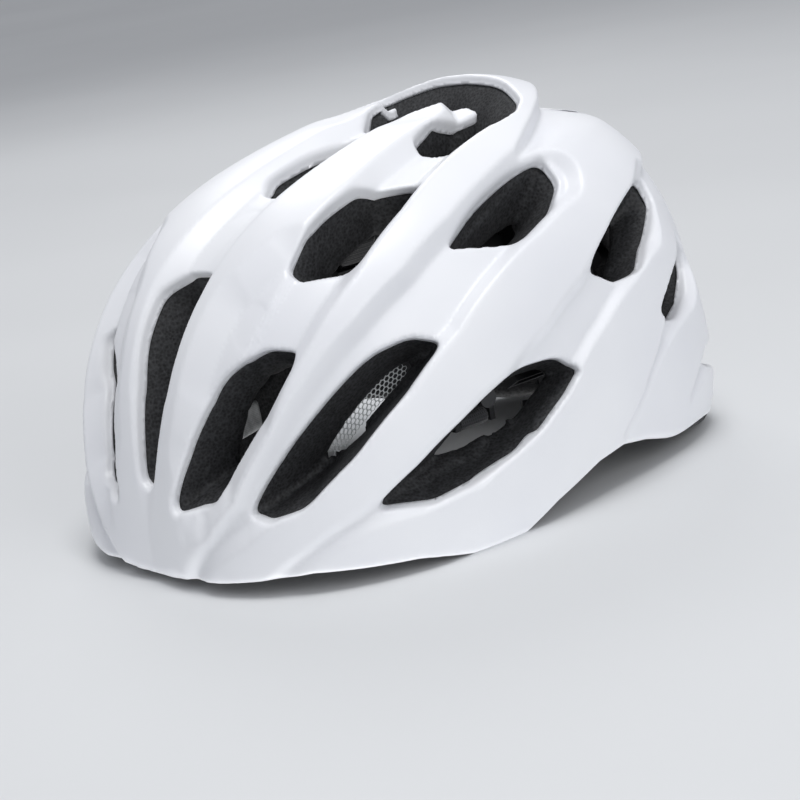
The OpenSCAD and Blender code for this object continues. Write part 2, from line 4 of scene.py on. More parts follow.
import bmesh
import bpy
import numpy as np
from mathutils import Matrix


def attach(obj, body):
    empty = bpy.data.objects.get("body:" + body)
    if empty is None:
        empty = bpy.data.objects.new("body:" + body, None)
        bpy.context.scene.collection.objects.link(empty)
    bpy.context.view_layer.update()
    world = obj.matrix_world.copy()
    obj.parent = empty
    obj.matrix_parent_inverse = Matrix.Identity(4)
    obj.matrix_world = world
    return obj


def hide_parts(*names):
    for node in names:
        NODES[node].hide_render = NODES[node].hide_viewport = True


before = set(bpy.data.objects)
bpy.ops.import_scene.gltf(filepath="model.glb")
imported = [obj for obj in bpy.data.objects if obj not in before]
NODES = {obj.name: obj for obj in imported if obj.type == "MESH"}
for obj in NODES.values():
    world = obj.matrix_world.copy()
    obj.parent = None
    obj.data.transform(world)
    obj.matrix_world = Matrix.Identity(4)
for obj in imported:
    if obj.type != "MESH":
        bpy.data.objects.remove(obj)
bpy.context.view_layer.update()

import openvdb
from mathutils import Matrix, Vector

MM = 0.001

# ---------------------------------------------------------------- helmet form (millimetres)

# Shapes are worked out about the head centre's axes, then moved with the CAD's own offset.
CENTRE = np.array([0.0, 0.0, 43.0])
OFFSET = np.array([0.0, 13.827, 0.0])
SIDE, FRONT, REAR, CROWN, LOW, SQUARE = 102.5, 148.6, 132.4, 117.0, 98.9, 2.6
HEAD_SIDE, HEAD_FRONT, HEAD_REAR, HEAD_CROWN, HEAD_LOW, HEAD_SQUARE = 84, 122, 112, 84, 125, 2.4
SHELL_T = 1.7           # visible skin
LIP = 3.8               # how far the skin turns down into a vent
TAPER = 0.42            # how fast a vent narrows below its lip
CHART = 0.3             # step of the chart grid, degrees
CHART_X, CHART_Y = 108, 112

# Valleys between the ribs: edge width, then (chart x, chart y, half width, depth) along the valley.
# Chart values are degrees from the crown, x to a side and y to the rear.
VALLEYS = (
    (4.0, ((0, -98, 1.5, .3), (0, -90, 4, 1.5), (0, -75, 7.5, 5), (0, -60, 9, 6.5), (0, -45, 9, 6),
           (0, -30, 9, 5.5), (0, -15, 8.5, 6.5), (0, 4, 9, 8.5), (0, 9.5, 9.5, 8))),
    (3.5, ((17, -95, 3, 1.5), (21, -90, 5.5, 4.5), (25, -83, 7, 7), (29, -72, 7.5, 9),
           (30.5, -58, 7.5, 9), (31, -45, 7.5, 9), (29.5, -30, 7, 9), (26, -15, 6.3, 9),
           (23, -2, 6, 9), (18, 7, 6.5, 9), (9, 11.5, 6, 8))),
    (7.0, ((14, -92, 4, 1), (18, -84, 8, 4), (21.5, -74, 10.5, 6.5), (23.5, -62, 11, 7),
           (26, -50, 8, 6))),
    (2.6, ((42.5, 5, 7.5, 6), (46.5, -8, 7.5, 7), (49.5, -22, 7, 7), (51.5, -38, 7.5, 7),
           (50.5, -52, 8, 7), (47, -65, 7.5, 7), (42, -77, 6, 6), (34, -88, 3.5, 4),
           (25, -96, 2.5, 3), (16, -104, 2.5, 3))),
    (2.2, ((41, 38, 5.5, 5), (52, 30, 6, 5), (61, 18, 6, 4.5), (70, 3, 6.3, 3.5), (77, -14, 7.5, 4),
           (79.5, -32, 8, 5), (76, -50, 7, 5), (69, -64, 4.5, 4), (60, -76, 2, 3),
           (50, -87, 1.5, 2.5), (40, -97, 1.5, 2))),
    (1.8, ((46, 57, 3.5, 5), (58, 52, 4.5, 4.5), (68, 43, 4, 3.5), (78, 37, 2, 2.5),
           (90, 29, 1.2, 2), (101, 17, 1.2, 1.5))),
    (1.8, ((36, 88, 3, 4), (52, 80, 3.5, 4), (64, 70, 2.5, 3), (80, 62, 1.2, 1.5))))

# Vent outlines in the same chart, for one side; those that start and end on x = 0 mirror whole
VENTS = (
    ((28, -64), (34.5, -61.5), (36, -63.5), (34.5, -70), (30, -80), (24.5, -90), (12.5, -94),
     (11.5, -92.5), (15, -84), (20, -72)),
    ((30.5, -20.5), (32.5, -20.5), (35, -30), (37, -42.5), (34, -46.5), (28, -51.5),
     (24.5, -51.5), (23.5, -40), (23.5, -30)),
    ((37.5, 8), (44, 8.5), (49.5, 2), (53.3, -11), (50, -20), (46, -28), (42.5, -16), (39, -2)),
    ((57.5, -41.5), (58, -44), (57.5, -55), (54, -69), (47.5, -81), (40, -86.5), (35, -88),
     (34.5, -87), (42, -70), (47.5, -54), (52, -46)),
    ((82.5, -6), (86, -15), (87.8, -28), (86, -40), (81, -54), (73, -65.5), (62, -74),
     (61.5, -73), (67, -61), (71, -46), (73.5, -28), (77.5, -13)),
    ((38, 38.5), (42, 41), (53, 34.5), (63.5, 25), (66, 15), (63.5, 6), (61, 7), (52, 19), (43, 31)),
    ((44, 50), (47, 58), (58, 55.5), (67, 48), (71, 39), (70, 34), (59, 41), (50, 47)),
    ((40, 87), (43, 90), (55, 82), (63, 74), (64.5, 70), (60, 71.5), (50, 79)),
    ((6, 61), (9, 59), (14, 60), (14, 70), (11, 78), (6, 79)),
    ((22, 59), (26, 57.5), (30, 59), (28, 69), (23, 76), (20, 74)),
    ((0, -5), (5, -5), (9, 2), (11, 11), (15.7, 11), (16, 4), (17.5, -4), (20, -12), (25, -11),
     (28.5, -4), (28, 4), (26, 10), (21, 15.5), (12, 19), (0, 20)),
    ((0, -56), (5, -56.5), (8, -61), (7.5, -70), (5, -83), (3.2, -91), (0, -92.5)),
    ((0, -8), (4, -10), (6, -20), (6.5, -31), (4, -35.5), (0, -36)))

# Height of the rim above the ground, by angle round from the front
RIM_ANGLE = (0, 15, 30, 45, 54, 66, 75, 90, 100, 110, 120, 135, 147, 166, 180)
RIM_HEIGHT = (3, 5, 8, 5, 0, 0, 7, 15, 17, 14, 9, 4, 0, 0, 1)


def smooth(t):
    u = np.clip(t, 0, 1)
    return u * u * (3 - 2 * u)


def blur(field, cells):
    """Gaussian blur of a 2-D field."""
    n = int(3 * cells) + 1
    kernel = np.exp(-0.5 * (np.arange(-n, n + 1) / cells) ** 2)
    kernel /= kernel.sum()
    for axis in (0, 1):
        padded = np.pad(field, [(n, n) if a == axis else (0, 0) for a in (0, 1)], "edge")
        field = sum(w * np.take(padded, np.arange(i, i + field.shape[axis]), axis)
                    for i, w in enumerate(kernel))
    return field


def valley_cut(x, y):
    cut = np.zeros_like(x)
    for edge, line in VALLEYS:
        for p, q in zip(line, line[1:]):
            dx, dy = q[0] - p[0], q[1] - p[1]
            t = np.clip(((x - p[0]) * dx + (y - p[1]) * dy) / (dx * dx + dy * dy), 0, 1)
            off = np.hypot(x - p[0] - t * dx, y - p[1] - t * dy) - (p[2] + t * (q[2] - p[2]))
            cut = np.maximum(cut, (p[3] + t * (q[3] - p[3])) * np.clip(-off / edge, 0, 1))
    return cut


def relief(x, y):
    """Height of the shell above the smooth dome: crown hump, valleys, rear deck and its step."""
    hump = 3 * (1 - smooth((np.hypot(x * 0.8, y - 19) - 5) / 14))
    yd = y - 29 + 0.022 * x * x
    ys = y - 53 + 0.012 * x * x
    deck = 9 * smooth(yd / 3) * (1 - 0.75 * smooth((yd - 2) / 17)) * smooth((44 - x) / 14)
    step = 5.5 * smooth(ys / 2) * smooth((58 - x) / 18)
    rib = 2 * (1 - smooth((np.hypot(x - 8, y - 2) - 6) / 9))
    return hump - np.maximum.reduce([valley_cut(x, y), deck, step, rib])


def dome(d):
    """Radius of the smooth dome in the unit directions d."""
    x, y, z = np.abs(d[..., 0]), d[..., 1], d[..., 2]
    q = ((x / SIDE) ** SQUARE + (np.abs(y) / np.where(y < 0, FRONT, REAR)) ** SQUARE
         + (np.abs(z) / np.where(z > 0, CROWN, LOW)) ** SQUARE)
    return q ** (-1 / SQUARE) * (1 + 0.086 * y * z - 0.146 * y * y * z - 0.074 * z * z * y * np.abs(y)
                                 + 0.09 * x * x * z - 0.002 * y ** 3 - 0.129 * x * y + 0.11 * z ** 3 * y)


def head(d):
    """Radius of the head hollow in the unit directions d."""
    x, y, z = np.abs(d[..., 0]), d[..., 1], d[..., 2]
    q = ((x / HEAD_SIDE) ** HEAD_SQUARE + (np.abs(y) / np.where(y < 0, HEAD_FRONT, HEAD_REAR)) ** HEAD_SQUARE
         + (np.abs(z) / np.where(z > 0, HEAD_CROWN, HEAD_LOW)) ** HEAD_SQUARE)
    return q ** (-1 / HEAD_SQUARE)


def chart_dir(x, y):
    """Unit directions of chart positions in degrees."""
    phi = np.maximum(np.hypot(x, y), 1e-6)
    s = np.sin(np.radians(phi)) / phi
    return np.stack([s * x, s * y, np.cos(np.radians(phi))], -1)


def rounded(points, rounds=3):
    """Closed outline with its corners cut again and again, so it becomes a curve."""
    p = np.array(points, float)
    for _ in range(rounds):
        ahead = np.roll(p, -1, 0)
        p = np.stack([0.87 * p + 0.13 * ahead, 0.13 * p + 0.87 * ahead], 1).reshape(-1, 2)
    return p


def inside(x, y, outline):
    hit = np.zeros(x.shape, bool)
    for a, b in zip(outline, np.roll(outline, -1, 0)):
        if a[1] != b[1]:
            hit ^= ((a[1] > y) != (b[1] > y)) & (x < a[0] + (y - a[1]) * (b[0] - a[0]) / (b[1] - a[1]))
    return hit


def outline_distance(x, y, outline):
    """Signed angle to a closed outline, negative inside, in radians along the sphere."""
    d, rim = chart_dir(x, y), chart_dir(outline[:, 0], outline[:, 1])
    best = np.full(x.shape, 1e9)
    for a, b in zip(rim, np.roll(rim, -1, 0)):
        e = b - a
        t = np.clip(((d - a) @ e) / max(e @ e, 1e-12), 0, 1)
        best = np.minimum(best, ((d - a - t[..., None] * e) ** 2).sum(-1))
    return np.where(inside(x, y, outline), -1, 1) * np.sqrt(best)


class Chart:
    """A field tabulated over one half of the chart and looked up with a bilinear blend."""

    def __init__(self):
        self.x = np.arange(-6, CHART_X, CHART)
        self.y = np.arange(-CHART_Y, CHART_Y, CHART)
        self.gx, self.gy = np.meshgrid(self.x, self.y, indexing="ij")

    def look(self, field, x, y):
        u = np.clip((x - self.x[0]) / CHART, 0, len(self.x) - 1.001)
        v = np.clip((y - self.y[0]) / CHART, 0, len(self.y) - 1.001)
        i, j = u.astype(int), v.astype(int)
        u, v = u - i, v - j
        return ((field[i, j] * (1 - u) + field[i + 1, j] * u) * (1 - v)
                + (field[i, j + 1] * (1 - u) + field[i + 1, j + 1] * u) * v)


def vent_walls(chart, reach=14):
    """Distance in millimetres from every chart point to the nearest vent outline."""
    walls = np.full(chart.gx.shape, 30.0)
    for points in VENTS:
        if points[0][0] == 0:
            points = points + tuple((-a, b) for a, b in points[::-1] if a > 0)
        outline = rounded(points)
        i, j = [slice(*np.searchsorted(axis, (outline[:, k].min() - reach, outline[:, k].max() + reach)))
                for k, axis in enumerate((chart.x, chart.y))]
        angle = outline_distance(chart.gx[i, j], chart.gy[i, j], outline)
        walls[i, j] = np.minimum(walls[i, j], angle * chart.radius[i, j])
    return walls


chart = Chart()
side = np.abs(chart.gx)
chart.radius = dome(chart_dir(side, chart.gy)) + relief(side, chart.gy)
chart.radius = blur(chart.radius, 0.28 / CHART)
chart.wall = blur(vent_walls(chart), 0.5 / CHART)
slope_x, slope_y = np.gradient(chart.radius, CHART)
chart.slope = 1 / np.sqrt(1 + (slope_x ** 2 + slope_y ** 2) / (np.radians(1) * chart.radius) ** 2)


def smax(a, b, k):
    """Larger of two distances, with a fillet of size k."""
    h = np.maximum(k - np.abs(a - b), 0) / k
    return np.maximum(a, b) + h * h * k / 4


class Fields:
    """Distances, positive outside the material, at points p (millimetres)."""

    def __init__(self, p):
        v = p - CENTRE
        r = np.maximum(np.linalg.norm(v, axis=-1), 1e-6)
        d = v / r[..., None]
        phi = np.degrees(np.arccos(np.clip(d[..., 2], -1, 1)))
        ring = np.maximum(np.hypot(d[..., 0], d[..., 1]), 1e-9)
        x, y = phi * np.abs(d[..., 0]) / ring, phi * d[..., 1] / ring
        self.out = (r - chart.look(chart.radius, x, y)) * chart.look(chart.slope, x, y)
        deep = np.maximum(-self.out - 3, 0)
        self.vent = -chart.look(chart.wall, x, y) - TAPER * deep
        angle = np.degrees(np.arctan2(np.abs(d[..., 0]), -d[..., 1]))
        self.rim = np.interp(angle, RIM_ANGLE, RIM_HEIGHT) - p[..., 2]
        self.head = head(d) - r
        self.skin = smax(smax(self.out, self.vent, 1.3), self.rim, 3.0)
        turned = smooth((self.rim + 6) / 5)
        bare = 12 * smooth((angle - 100) / 40) - 7
        self.cover = np.minimum(self.out + LIP * (1 - turned) + 2.2 * turned, -self.rim - bare)

    @property
    def body(self):
        return smax(self.skin, self.head, 5.0)

    @property
    def foam(self):
        return smax(self.skin + 0.9 + 1.1 * smooth((self.cover + 1.2) / 1.2), self.head, 5.0)


def gradient(name, p, step=0.25):
    g = np.stack([getattr(Fields(p + e), name) - getattr(Fields(p - e), name)
                  for e in np.eye(3) * step], -1) / (2 * step)
    return g


def settle(name, p, rounds=2):
    """Moves points onto the zero surface of a field and returns them with their normals."""
    for _ in range(rounds):
        g = gradient(name, p)
        size = np.maximum((g ** 2).sum(-1), 0.2)
        p = p - np.clip(getattr(Fields(p), name) / size, -1, 1)[..., None] * g
    g = gradient(name, p)
    return p, g / np.maximum(np.linalg.norm(g, axis=-1, keepdims=True), 1e-9)


def relax(p, quads, normals, rounds):
    """Evens out the spacing of the vertices within the surface."""
    edges = np.concatenate([quads[:, [0, 1]], quads[:, [1, 2]], quads[:, [2, 3]], quads[:, [3, 0]]])
    count = np.bincount(edges[:, 0], minlength=len(p)) + np.bincount(edges[:, 1], minlength=len(p))
    for _ in range(rounds):
        total = np.stack([np.bincount(edges[:, 0], p[edges[:, 1], k], len(p))
                          + np.bincount(edges[:, 1], p[edges[:, 0], k], len(p)) for k in range(3)], -1)
        move = total / np.maximum(count, 1)[:, None] - p
        move -= (move * normals).sum(-1, keepdims=True) * normals
        p = p + 0.6 * move
    return p


def surface(name, cell):
    """Quad mesh of the zero surface of a field."""
    low, high = np.array([-104.0, -150.0, -4.0]), np.array([104.0, 136.0, 164.0])
    axes = [np.arange(low[k], high[k], cell) for k in range(3)]
    values = np.empty([len(a) for a in axes], np.float32)
    for i, x in enumerate(axes[0]):
        p = np.stack(np.broadcast_arrays(x, *np.meshgrid(axes[1], axes[2], indexing="ij")), -1)
        values[i] = getattr(Fields(p), name)
    grid = openvdb.FloatGrid()
    grid.copyFromArray(np.clip(values, -4 * cell, 4 * cell))
    points, quads = grid.convertToQuads(isovalue=0.0)
    p = low + np.asarray(points, float) * cell
    quads = np.asarray(quads, int)
    p, n = settle(name, p)
    p = relax(p, quads, n, 4)
    p, n = settle(name, p)
    a, b, c = p[quads[:, 0]], p[quads[:, 1]], p[quads[:, 2]]
    if (np.cross(b - a, c - a) * n[quads[:, 0]]).sum() < 0:
        quads = quads[:, ::-1]
    return p, quads, n


def add_mesh(name, points, faces, body, material, flat=False):
    """A new piece from points in millimetres, riding a body."""
    mesh = bpy.data.meshes.new(name)
    if isinstance(faces, np.ndarray):
        faces = faces.tolist()
    mesh.from_pydata(((np.asarray(points, float) + OFFSET) * MM).tolist(), [], faces)
    mesh.validate()
    mesh.polygons.foreach_set("use_smooth", [not flat] * len(mesh.polygons))
    piece = bpy.data.objects.new(name, mesh)
    bpy.context.scene.collection.objects.link(piece)
    piece.data.materials.append(material)
    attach(piece, body)
    return piece


def triangles(quads):
    return np.concatenate([quads[:, [0, 1, 2]], quads[:, [0, 2, 3]]])


def border(tris):
    """Directed edges that belong to one triangle only."""
    e = np.concatenate([tris[:, [k, (k + 1) % 3]] for k in range(3)])
    key = np.sort(e, 1)
    _, index, count = np.unique(key[:, 0] * (key.max() + 1) + key[:, 1], return_index=True, return_counts=True)
    return e[index[count == 1]]


def onto_lip(q):
    """Slides points of the body surface onto the line where the skin ends."""
    for _ in range(3):
        down, n = gradient("cover", q), gradient("body", q)
        n /= np.maximum(np.linalg.norm(n, axis=-1, keepdims=True), 1e-9)
        down -= (down * n).sum(-1, keepdims=True) * n
        size = np.maximum((down ** 2).sum(-1), 0.1)
        q = q - np.clip(Fields(q).cover / size, -0.5, 0.5)[:, None] * down
        q = settle("body", q, 1)[0]
    return q


def trim(p, tris, cell):
    """Cuts the surface along the line where the skin ends and keeps the covered side."""
    level = Fields(p).cover
    near = np.abs(level) < 0.3 * cell
    p[near] = onto_lip(p[near])
    level[near] = 0
    high, low = (level[tris] > 0).any(1), (level[tris] < 0).any(1)
    whole = tris[high & ~low].tolist()
    cuts, fresh = {}, []
    for tri in tris[high & low].tolist():
        loop = []
        for a, b in zip(tri, tri[1:] + tri[:1]):
            if level[a] >= 0:
                loop.append(a)
            if level[a] * level[b] < 0:
                key = (min(a, b), max(a, b))
                if key not in cuts:
                    t = level[a] / (level[a] - level[b])
                    cuts[key] = len(p) + len(fresh)
                    fresh.append(p[a] + t * (p[b] - p[a]))
                loop.append(cuts[key])
        whole += [[loop[0], loop[k], loop[k + 1]] for k in range(1, len(loop) - 1)]
    if fresh:
        p = np.concatenate([p, onto_lip(np.array(fresh))])
    used, tris = np.unique(np.array(whole), return_inverse=True)
    return p[used], tris.reshape(-1, 3)


def skin_mesh(cell):
    """The thin outer skin: its outside follows the helmet and turns down into every vent."""
    p, quads, _ = surface("body", cell)
    p, tris = trim(p, triangles(quads), cell)
    n = settle("body", p, 0)[1]
    size = len(p)
    side = [[b, a, a + size, b + size] for a, b in border(tris).tolist()]
    return np.concatenate([p, p - n * SHELL_T]), tris.tolist() + (tris[:, ::-1] + size).tolist() + side


# ---------------------------------------------------------------- materials

class Nodes:
    """Small builder for a node material in object coordinates (metres)."""

    def __init__(self, name):
        self.material = bpy.data.materials.new(name)
        self.material.use_nodes = True
        self.tree = self.material.node_tree
        self.shader = self.tree.nodes["Principled BSDF"]
        self.place = self.add("ShaderNodeTexCoord").outputs["Object"]

    def add(self, kind, **values):
        node = self.tree.nodes.new(kind)
        for key, value in values.items():
            if hasattr(node, key):
                setattr(node, key, value)
            else:
                node.inputs[key.replace("_", " ")].default_value = value
        return node

    def link(self, output, target):
        self.tree.links.new(output, target)

    def noise(self, size, detail=4.0):
        """Noise with features of the given size in millimetres."""
        node = self.add("ShaderNodeTexNoise", Scale=1000 / size, Detail=detail)
        self.link(self.place, node.inputs["Vector"])
        return node.outputs["Fac"]

    def cells(self, size):
        node = self.add("ShaderNodeTexVoronoi", feature="F1", Scale=1000 / size)
        self.link(self.place, node.inputs["Vector"])
        return node.outputs["Distance"]

    def wave(self, size, direction):
        node = self.add("ShaderNodeTexWave", bands_direction=direction, Scale=1000 / size / 3.1, Distortion=0.4)
        self.link(self.place, node.inputs["Vector"])
        return node.outputs["Fac"]

    def math(self, operation, a, b):
        node = self.add("ShaderNodeMath", operation=operation)
        for k, value in enumerate((a, b)):
            if isinstance(value, (int, float)):
                node.inputs[k].default_value = value
            else:
                self.link(value, node.inputs[k])
        return node.outputs[0]

    def ramp(self, source, low, high, start=0.3, end=0.7):
        node = self.add("ShaderNodeValToRGB")
        node.color_ramp.elements[0].position, node.color_ramp.elements[1].position = start, end
        node.color_ramp.elements[0].color, node.color_ramp.elements[1].color = (*low, 1), (*high, 1)
        self.link(source, node.inputs["Fac"])
        return node.outputs["Color"]

    def span(self, source, low, high):
        node = self.add("ShaderNodeMapRange", To_Min=low, To_Max=high)
        self.link(source, node.inputs["Value"])
        return node.outputs["Result"]

    def bump(self, height, depth, strength=0.5):
        """Bump of the given depth in millimetres."""
        node = self.add("ShaderNodeBump", Strength=strength, Distance=depth * MM)
        self.link(height, node.inputs["Height"])
        self.link(node.outputs["Normal"], self.shader.inputs["Normal"])

    def colour(self, output):
        self.link(output, self.shader.inputs["Base Color"])

    def roughness(self, output):
        self.link(output, self.shader.inputs["Roughness"])


def shell_paint():
    """White in-mould shell: satin lacquer with a very fine orange peel and a few rubbed spots."""
    n = Nodes("shell_white")
    n.colour(n.ramp(n.noise(60, 2), (0.74, 0.75, 0.785), (0.79, 0.80, 0.825)))
    n.roughness(n.span(n.noise(9), 0.36, 0.44))
    n.bump(n.noise(2.2, 2), 0.02, 0.25)
    n.shader.inputs["Coat Weight"].default_value = 0.12
    n.shader.inputs["Coat Roughness"].default_value = 0.22
    return n.material


def foam_beads():
    """Black expanded foam: fused beads with pale skins, so the surface reads as fine speckle."""
    n = Nodes("eps_foam")
    mix = n.math("ADD", n.math("MULTIPLY", n.cells(1.3), 0.6), n.math("MULTIPLY", n.noise(0.8, 2), 0.5))
    n.colour(n.ramp(mix, (0.003, 0.003, 0.0035), (0.04, 0.041, 0.044), 0.3, 0.8))
    n.roughness(n.span(n.noise(3), 0.55, 0.8))
    n.bump(n.cells(1.3), 0.3, 0.5)
    return n.material


def fabric(name, low, high, pitch=0.9, sheen=0.4):
    """Brushed knit over foam: a fine weave and a fuzzy sheen."""
    n = Nodes(name)
    weave = n.math("MULTIPLY", n.wave(pitch, "X"), n.wave(pitch, "Y"))
    weave = n.math("ADD", weave, n.math("MULTIPLY", n.wave(pitch, "Z"), 0.5))
    n.colour(n.ramp(n.math("ADD", n.math("MULTIPLY", weave, 0.5), n.math("MULTIPLY", n.noise(6), 0.5)), low, high))
    n.roughness(n.span(n.noise(4), 0.8, 0.95))
    n.bump(weave, 0.18, 0.6)
    n.shader.inputs["Sheen Weight"].default_value = sheen
    return n.material


def webbing_weave():
    """Woven polyester strap."""
    n = Nodes("webbing")
    ribs = n.math("MAXIMUM", n.wave(1.3, "Z"), n.math("MULTIPLY", n.wave(1.1, "Y"), 0.8))
    n.colour(n.ramp(ribs, (0.006, 0.006, 0.007), (0.035, 0.036, 0.04), 0.1, 0.9))
    n.roughness(n.span(n.noise(2), 0.55, 0.75))
    n.bump(ribs, 0.25, 0.7)
    n.shader.inputs["Sheen Weight"].default_value = 0.25
    return n.material


def plastic(name, low, high, rough, grain=0.5, depth=0.05):
    """Moulded plastic with a fine spark-eroded grain."""
    n = Nodes(name)
    n.colour(n.ramp(n.noise(14), low, high))
    n.roughness(n.span(n.noise(5), rough - 0.07, rough + 0.07))
    n.bump(n.noise(grain, 2), depth, 0.5)
    return n.material


def steel():
    """Zinc-plated screw steel with a fine grain."""
    n = Nodes("screw_steel")
    n.colour(n.ramp(n.noise(2), (0.42, 0.43, 0.45), (0.62, 0.63, 0.65)))
    n.roughness(n.span(n.noise(0.8), 0.22, 0.42))
    n.bump(n.noise(0.4), 0.02, 0.5)
    n.shader.inputs["Metallic"].default_value = 1.0
    return n.material


PAINT = shell_paint()
FOAM = foam_beads()
PAD = fabric("pad_fabric", (0.008, 0.008, 0.009), (0.03, 0.031, 0.034))
PALE_PAD = fabric("temple_fabric", (0.36, 0.37, 0.38), (0.55, 0.56, 0.57), 0.8, 0.2)
NYLON = plastic("nylon_black", (0.011, 0.011, 0.012), (0.024, 0.025, 0.027), 0.42)
RUBBER = plastic("soft_rubber", (0.009, 0.009, 0.010), (0.02, 0.02, 0.022), 0.62, 1.4, 0.08)
PATCH = plastic("patch_grey", (0.50, 0.51, 0.53), (0.58, 0.59, 0.61), 0.4, 0.7, 0.03)
NET = plastic("net_mesh", (0.55, 0.57, 0.58), (0.75, 0.77, 0.78), 0.45, 0.4, 0.03)
WEBBING = webbing_weave()
STEEL = steel()

# ---------------------------------------------------------------- shell and liner

CELL = 1.35

points, faces = skin_mesh(CELL)
shell = add_mesh("shell", points, faces, "helmet", PAINT)
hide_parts("outer_shell")

points, faces, _ = surface("foam", CELL * 1.45)
liner = add_mesh("liner", points, faces, "helmet", FOAM)
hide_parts("eps_liner")

# ---------------------------------------------------------------- pieces laid on the head or the shell

CRADLE_Y, CRADLE_Z, CRADLE_DROOP = 13, 30, math.radians(9)      # tilt axis and droop of the adjuster
ARM_R = 79                                                      # toothed arms about their own axis
STRAP_X, STRAP_Z, STRAP_LEAN = 76, 44, math.radians(30)         # strap bars and the stowed lean
PAD_GAP, PAD_T, TEMPLE_T = 0.8, 5.0, 2.6
CLOTH_FRAMES, BULGE = 20, 1.3


def head_point(angle, phi, depth):
    """Point on the head hollow: angle round from the front, angle from the crown, depth inwards."""
    t, f = np.radians(angle), np.radians(phi)
    d = np.stack([np.sin(f) * np.sin(t), -np.sin(f) * np.cos(t), np.cos(f)], -1)
    return CENTRE + d * (head(d) - depth)[..., None]


def head_chart(a, b, depth):
    d = chart_dir(a, b)
    return CENTRE + d * (head(d) - depth)[..., None]


def cradle_point(p):
    """From the adjuster's own frame to the helmet's."""
    c, s = math.cos(CRADLE_DROOP), math.sin(CRADLE_DROOP)
    return np.stack([p[..., 0], CRADLE_Y + p[..., 1] * c + p[..., 2] * s,
                     CRADLE_Z - p[..., 1] * s + p[..., 2] * c], -1)


def strap_point(p, side):
    """From one strap's own frame to the helmet's; side is 1 on the left and -1 on the right."""
    c, s = math.cos(STRAP_LEAN), math.sin(STRAP_LEAN)
    return np.stack([side * (STRAP_X + p[..., 0] * c - p[..., 2] * s), p[..., 1],
                     STRAP_Z + p[..., 0] * s + p[..., 2] * c], -1)


def cushion(name, place, size, node, body, material):
    """A sewn pad: place(u, v, w) maps u, v in -1..1 and height w in 0..1 to points. The top
    panel is blown up by cloth pressure between its seams."""
    nu, nv = size
    u, v = np.meshgrid(np.linspace(-1, 1, nu), np.linspace(-1, 1, nv), indexing="ij")
    # a square grid pulled to a rounded outline
    round_u, round_v = u * np.sqrt(1 - 0.16 * v ** 4), v * np.sqrt(1 - 0.16 * u ** 4)
    edge = (1 - u ** 8) * (1 - v ** 6)
    top = place(round_u, round_v, 0.35 + 0.4 * edge)
    low = place(round_u, round_v, 0.35 - 0.35 * edge)
    n = nu * nv
    index = np.arange(n).reshape(nu, nv)
    rim = (index[0, :], index[-1, :], index[:, 0], index[:, -1])
    below = index + n
    below[0, :], below[-1, :], below[:, 0], below[:, -1] = rim
    faces = []
    for grid, flip in ((index, False), (below, True)):
        for i in range(nu - 1):
            for j in range(nv - 1):
                f = [int(grid[i, j]), int(grid[i + 1, j]), int(grid[i + 1, j + 1]), int(grid[i, j + 1])]
                faces.append(f[::-1] if flip else f)
    points = np.concatenate([top.reshape(-1, 3), low.reshape(-1, 3)])
    piece = add_mesh(name, points, faces, body, material)
    piece.data.update()
    loose = [k for k in range(2 * n) if k >= n and below[(k - n) // nv, (k - n) % nv] != k]
    inflate(piece, [int(k) for r in rim for k in r] + loose, points)
    tidy_points(piece)
    detail = piece.modifiers.new("smooth", "SUBSURF")
    detail.levels = detail.render_levels = 1
    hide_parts(node)
    return piece


def tidy_points(piece):
    """Removes the points of the lower grid that its rim doesn't use."""
    work = bmesh.new()
    work.from_mesh(piece.data)
    bmesh.ops.delete(work, geom=[v for v in work.verts if not v.link_faces], context="VERTS")
    bmesh.ops.recalc_face_normals(work, faces=work.faces)
    work.to_mesh(piece.data)
    work.free()
    for polygon in piece.data.polygons:
        polygon.use_smooth = True


def inflate(piece, fixed, rest):
    """Cloth pressure with the seams and the underside held; no point moves more than BULGE mm."""
    group = piece.vertex_groups.new(name="held")
    group.add(fixed, 1.0, "REPLACE")
    cloth = piece.modifiers.new("cloth", "CLOTH")
    cloth.settings.vertex_group_mass = "held"
    cloth.settings.use_pressure = True
    cloth.settings.uniform_pressure_force = 4
    cloth.settings.effector_weights.gravity = 0
    cloth.settings.tension_stiffness = cloth.settings.compression_stiffness = 8
    cloth.settings.bending_stiffness = 0.2
    cloth.settings.quality = 5
    cloth.point_cache.frame_start, cloth.point_cache.frame_end = 1, CLOTH_FRAMES
    scene = bpy.context.scene
    for frame_number in range(1, CLOTH_FRAMES + 1):
        scene.frame_set(frame_number)
        bpy.context.view_layer.update()
    shown = piece.evaluated_get(bpy.context.evaluated_depsgraph_get())
    moved = np.zeros(len(rest) * 3)
    shown.data.vertices.foreach_get("co", moved)
    piece.modifiers.remove(cloth)
    rest = (rest + OFFSET) * MM
    step = moved.reshape(-1, 3) - rest
    length = np.maximum(np.linalg.norm(step, axis=1, keepdims=True), 1e-9)
    step *= np.minimum(1, BULGE * MM / length)
    piece.data.vertices.foreach_set("co", (rest + step).ravel())
    piece.data.update()
    scene.frame_set(1)


